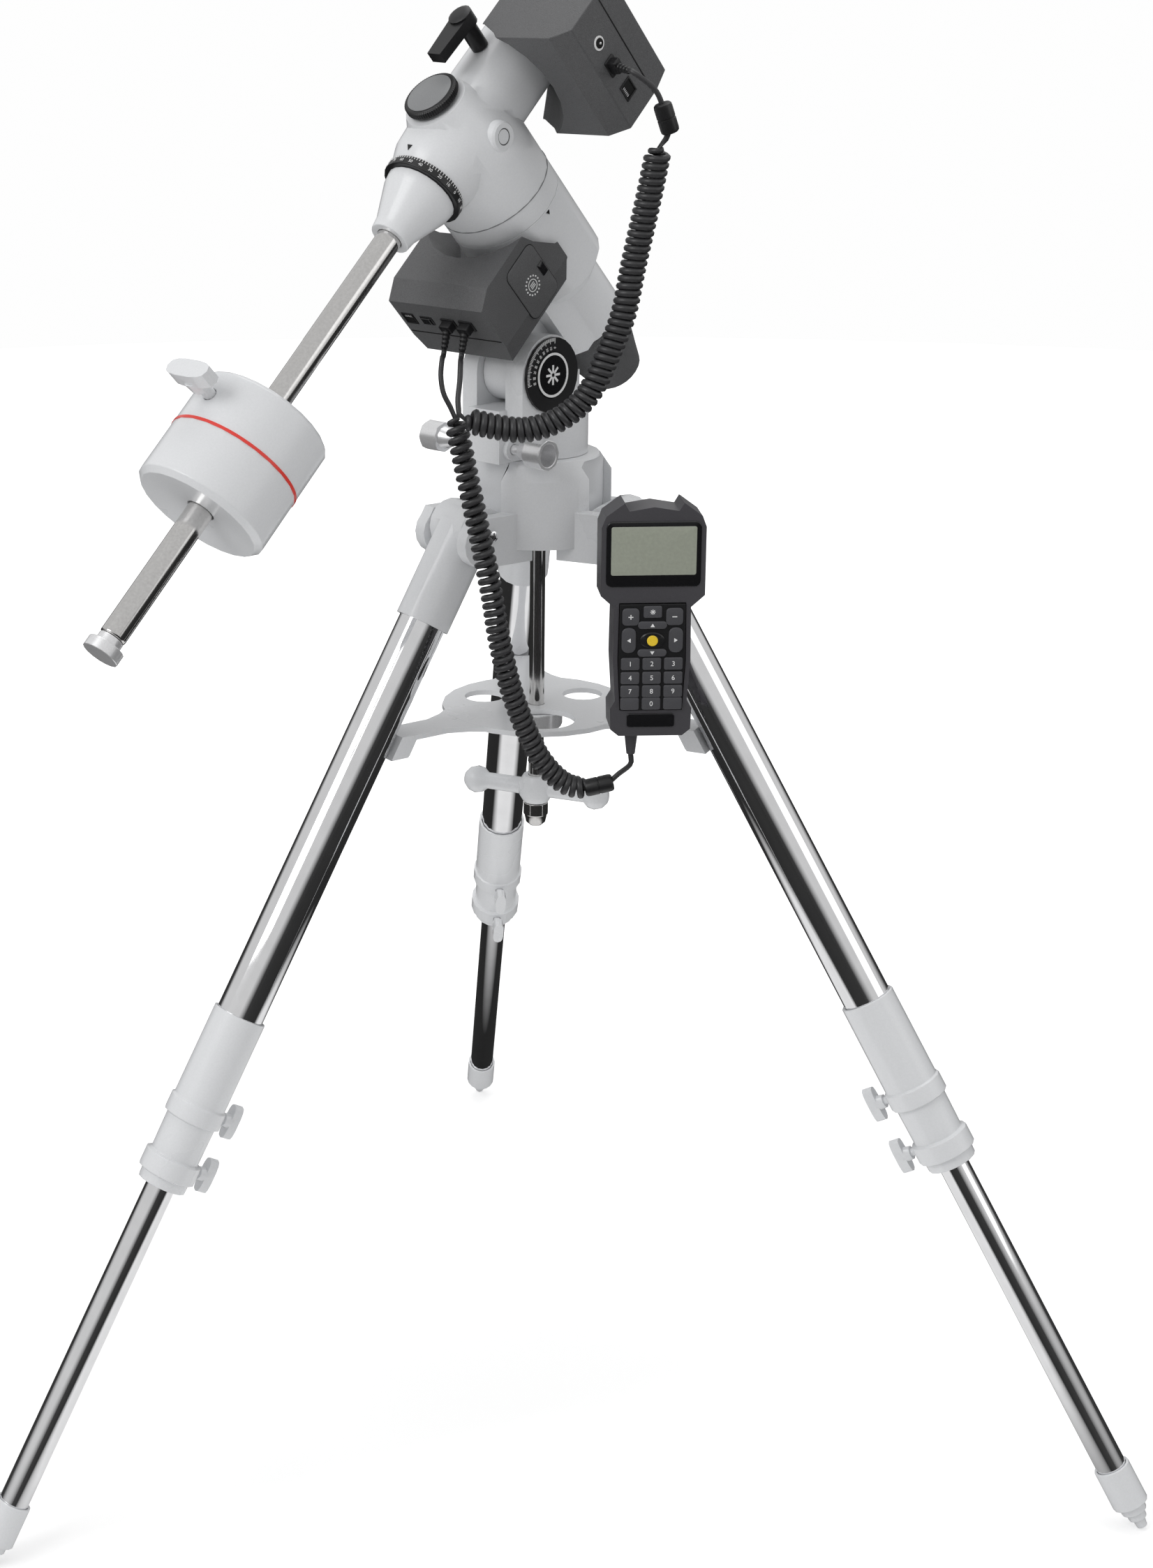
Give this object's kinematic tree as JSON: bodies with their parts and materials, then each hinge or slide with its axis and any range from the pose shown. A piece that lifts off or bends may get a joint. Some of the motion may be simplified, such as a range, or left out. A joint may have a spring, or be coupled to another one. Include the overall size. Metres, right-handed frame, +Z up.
{
  "type": "equatorial telescope mount on tripod",
  "caption": "Motorised equatorial telescope mount on an extendable round-tube tripod, with counterweight, spreader tray and a corded hand controller held on one leg.",
  "frame": {"origin": "floor level under the middle of the object's bounding box, taken without its cords", "axes": "+Z up, the height from feet to saddle; the polar axis rises towards -Y and the two motor cases face +X"},
  "size_m": [0.8686, 0.8394, 1.176],
  "materials": {
    "painted_white": "smooth satin off-white paint on cast metal",
    "chrome": "polished stainless tube",
    "brushed_steel": "brushed",
    "silver_knob": "satin silver knob",
    "dark_plastic": "fine matte moulded plastic",
    "black_plastic": "satin black moulded plastic",
    "cord_rubber": "matte black cord sheath",
    "keypad": "soft moulded key mat"
  },
  "bodies": {
    "tripod": {"tripod_hub": "painted_white"},
    "leg_north": {"leg_knuckle_north": "painted_white", "leg_tube_north": "chrome", "leg_clamp_north": "painted_white"},
    "leg_extension_north": {"leg_extension_north": "chrome", "foot_cap_north": "painted_white"},
    "leg_knob_upper_north": {"leg_knob_upper_north": "painted_white"},
    "leg_knob_lower_north": {"leg_knob_lower_north": "painted_white"},
    "leg_east": {"leg_knuckle_east": "painted_white", "leg_tube_east": "chrome", "leg_clamp_east": "painted_white", "handset_holder": "black_plastic"},
    "leg_extension_east": {"leg_extension_east": "chrome", "foot_cap_east": "painted_white"},
    "leg_knob_upper_east": {"leg_knob_upper_east": "painted_white"},
    "leg_knob_lower_east": {"leg_knob_lower_east": "painted_white"},
    "leg_rear": {"leg_knuckle_rear": "painted_white", "leg_tube_rear": "chrome", "leg_clamp_rear": "painted_white"},
    "leg_extension_rear": {"leg_extension_rear": "chrome", "foot_cap_rear": "painted_white"},
    "leg_knob_upper_rear": {"leg_knob_upper_rear": "painted_white"},
    "leg_knob_lower_rear": {"leg_knob_lower_rear": "painted_white"},
    "spreader_screw": {"spreader_rod": "chrome", "t_handle": "painted_white"},
    "tray": {"spreader_tray": "painted_white"},
    "tray_nut": {"tray_nut": "silver_knob"},
    "azimuth": {"azimuth_base": "painted_white", "latitude_scale": "black_plastic", "altitude_pin": "brushed_steel"},
    "azimuth_knob_east": {"azimuth_knob_east": "silver_knob"},
    "azimuth_knob_west": {"azimuth_knob_west": "silver_knob"},
    "latitude_bolt": {"latitude_bolt": "chrome"},
    "altitude": {"ra_housing": "painted_white", "ra_motor_case": "dark_plastic", "dec_cord_ra_plug": "black_plastic", "hand_cord_plug": "black_plastic", "dec_cord_tail": "cord_rubber", "hand_cord_tail": "cord_rubber", "hand_cord_coil": "cord_rubber"},
    "polar_scope_cover": {"polar_scope_cover": "dark_plastic"},
    "ra_head": {"dec_head": "painted_white", "dec_motor_case": "dark_plastic", "dec_cord_plug": "black_plastic", "dec_cord_lead": "cord_rubber", "dec_cord_coil": "cord_rubber"},
    "front_cap": {"front_cap": "black_plastic"},
    "dec_clutch_lever": {"dec_clutch_lever": "black_plastic"},
    "dec_axis": {"dec_shaft": "brushed_steel", "dec_cone": "painted_white", "counterweight_shaft": "brushed_steel", "saddle": "painted_white"},
    "dec_setting_circle": {"dec_setting_circle": "black_plastic"},
    "counterweight": {"counterweight": "painted_white"},
    "counterweight_knob": {"counterweight_knob": "painted_white"},
    "shaft_end_cap": {"shaft_end_cap": "silver_knob"},
    "saddle_knob": {"saddle_knob": "silver_knob"},
    "handset": {"handset_case": "dark_plastic", "hand_cord_lead": "cord_rubber"},
    "handset_keypad": {"handset_keypad": "keypad"}
  },
  "joints": [
    {"name": "leg_fold_north", "type": "hinge", "parent": "tripod", "child": "leg_north", "pos_m": [-0.06148, 0.01339, 0.7398], "axis": [0.981, -0.1942, 0], "range_deg": [0, 2.4]},
    {"name": "leg_extension_north", "type": "slide", "parent": "leg_north", "child": "leg_extension_north", "axis": [-0.0992, -0.5008, -0.8599], "range_m": [-0.2, 0.12]},
    {"name": "leg_knob_upper_north", "type": "hinge", "parent": "leg_north", "child": "leg_knob_upper_north", "pos_m": [-0.10972, -0.23026, 0.32148], "axis": [0.167, 0.8435, -0.5105], "continuous": true},
    {"name": "leg_knob_lower_north", "type": "hinge", "parent": "leg_north", "child": "leg_knob_lower_north", "pos_m": [-0.11414, -0.25255, 0.28321], "axis": [0.167, 0.8435, -0.5105], "continuous": true},
    {"name": "leg_fold_east", "type": "hinge", "parent": "tripod", "child": "leg_east", "pos_m": [0.0161, 0.10201, 0.7398], "axis": [-0.3223, 0.9466, 0], "range_deg": [0, 2.4]},
    {"name": "leg_extension_east", "type": "slide", "parent": "leg_east", "child": "leg_extension_east", "axis": [0.4833, 0.1645, -0.8599], "range_m": [-0.2, 0.12]},
    {"name": "leg_knob_upper_east", "type": "hinge", "parent": "leg_east", "child": "leg_knob_upper_east", "pos_m": [0.25123, 0.18205, 0.32148], "axis": [-0.814, -0.2771, -0.5105], "continuous": true},
    {"name": "leg_knob_lower_east", "type": "hinge", "parent": "leg_east", "child": "leg_knob_lower_east", "pos_m": [0.27274, 0.18937, 0.28321], "axis": [-0.814, -0.2771, -0.5105], "continuous": true},
    {"name": "leg_fold_rear", "type": "hinge", "parent": "tripod", "child": "leg_rear", "pos_m": [-0.09944, 0.12488, 0.7398], "axis": [-0.6587, -0.7524, 0], "range_deg": [0, 2.4]},
    {"name": "leg_extension_rear", "type": "slide", "parent": "leg_rear", "child": "leg_extension_rear", "axis": [-0.3841, 0.3363, -0.8599], "range_m": [-0.2, 0.12]},
    {"name": "leg_knob_upper_rear", "type": "hinge", "parent": "leg_rear", "child": "leg_knob_upper_rear", "pos_m": [-0.28632, 0.28849, 0.32148], "axis": [0.647, -0.5664, -0.5105], "continuous": true},
    {"name": "leg_knob_lower_rear", "type": "hinge", "parent": "leg_rear", "child": "leg_knob_lower_rear", "pos_m": [-0.30341, 0.30345, 0.28321], "axis": [0.647, -0.5664, -0.5105], "continuous": true},
    {"name": "spreader_screw_spin", "type": "hinge", "parent": "tripod", "child": "spreader_screw", "pos_m": [-0.04827, 0.08009, 0.5858], "axis": [0, 0, 1], "continuous": true},
    {"name": "tray_drop", "type": "slide", "parent": "tripod", "child": "tray", "axis": [0, 0, -1], "range_m": [0, 0.017]},
    {"name": "tray_nut_spin", "type": "hinge", "parent": "tray", "child": "tray_nut", "pos_m": [-0.04827, 0.08009, 0.5858], "axis": [0, 0, 1], "continuous": true},
    {"name": "azimuth_turn", "type": "hinge", "parent": "tripod", "child": "azimuth", "pos_m": [-0.04827, 0.08009, 0.7918], "axis": [0, 0, 1], "range_deg": [-8, 8], "deforming": ["hand_cord_tail", "hand_cord_coil", "hand_cord_lead"]},
    {"name": "azimuth_knob_east_spin", "type": "hinge", "parent": "azimuth", "child": "azimuth_knob_east", "pos_m": [-0.04827, 0.03009, 0.8026], "axis": [1, 0, 0], "continuous": true},
    {"name": "azimuth_knob_west_spin", "type": "hinge", "parent": "azimuth", "child": "azimuth_knob_west", "pos_m": [-0.04827, 0.03009, 0.8026], "axis": [1, 0, 0], "continuous": true},
    {"name": "latitude_bolt_turn", "type": "hinge", "parent": "azimuth", "child": "latitude_bolt", "pos_m": [-0.04827, 0.11659, 0.8365], "axis": [0, 0.9701, -0.2425], "range_deg": [-45, 45]},
    {"name": "altitude_tilt", "type": "hinge", "parent": "azimuth", "child": "altitude", "pos_m": [-0.04827, 0.05639, 0.8575], "axis": [1, 0, 0], "range_deg": [-3, 20]},
    {"name": "polar_scope_cover_pull", "type": "slide", "parent": "altitude", "child": "polar_scope_cover", "axis": [0, 0.682, -0.7314], "range_m": [0, 0.05]},
    {"name": "right_ascension", "type": "hinge", "parent": "altitude", "child": "ra_head", "pos_m": [-0.04827, -0.00714, 1.03399], "axis": [0, -0.682, 0.7314], "range_deg": [-90, 90], "deforming": ["dec_cord_lead", "dec_cord_coil", "dec_cord_tail"]},
    {"name": "front_cap_unscrew", "type": "hinge", "parent": "ra_head", "child": "front_cap", "pos_m": [-0.04827, -0.00714, 1.03399], "axis": [0, -0.682, 0.7314], "continuous": true},
    {"name": "dec_clutch", "type": "hinge", "parent": "ra_head", "child": "dec_clutch_lever", "pos_m": [-0.04827, 0.03601, 1.07422], "axis": [0, -0.682, 0.7314], "range_deg": [-60, 0]},
    {"name": "declination", "type": "hinge", "parent": "ra_head", "child": "dec_axis", "pos_m": [-0.04827, -0.00714, 1.03399], "axis": [0, 0.7314, 0.682], "range_deg": [-180, 180]},
    {"name": "setting_circle_spin", "type": "hinge", "parent": "dec_axis", "child": "dec_setting_circle", "pos_m": [-0.04827, -0.00714, 1.03399], "axis": [0, 0.7314, 0.682], "continuous": true},
    {"name": "counterweight_slide", "type": "slide", "parent": "dec_axis", "child": "counterweight", "axis": [0, 0.7314, 0.682], "range_m": [-0.1, 0.06]},
    {"name": "counterweight_knob_spin", "type": "hinge", "parent": "counterweight", "child": "counterweight_knob", "pos_m": [-0.04827, -0.21374, 0.84132], "axis": [0, -0.682, 0.7314], "continuous": true},
    {"name": "shaft_end_cap_unscrew", "type": "hinge", "parent": "dec_axis", "child": "shaft_end_cap", "pos_m": [-0.04827, -0.33771, 0.72572], "axis": [0, 0.7314, 0.682], "continuous": true},
    {"name": "saddle_knob_spin", "type": "hinge", "parent": "dec_axis", "child": "saddle_knob", "pos_m": [-0.04827, 0.10513, 1.13867], "axis": [-1, 0, 0], "continuous": true},
    {"name": "handset_lift", "type": "slide", "parent": "leg_east", "child": "handset", "axis": [0, 0, 1], "range_m": [0, 0.0085]},
    {"name": "key_press", "type": "slide", "parent": "handset", "child": "handset_keypad", "axis": [-0.7312, 0.6822, 0], "range_m": [0, 0.0008], "stiffness_N_per_m": 600}
  ],
  "couplings": [
    {"joint": "leg_fold_east", "follows": "leg_fold_north", "ratio": 1},
    {"joint": "leg_fold_rear", "follows": "leg_fold_north", "ratio": 1},
    {"joint": "tray_drop", "follows": "leg_fold_north", "m_per_rad": 0.38}
  ]
}
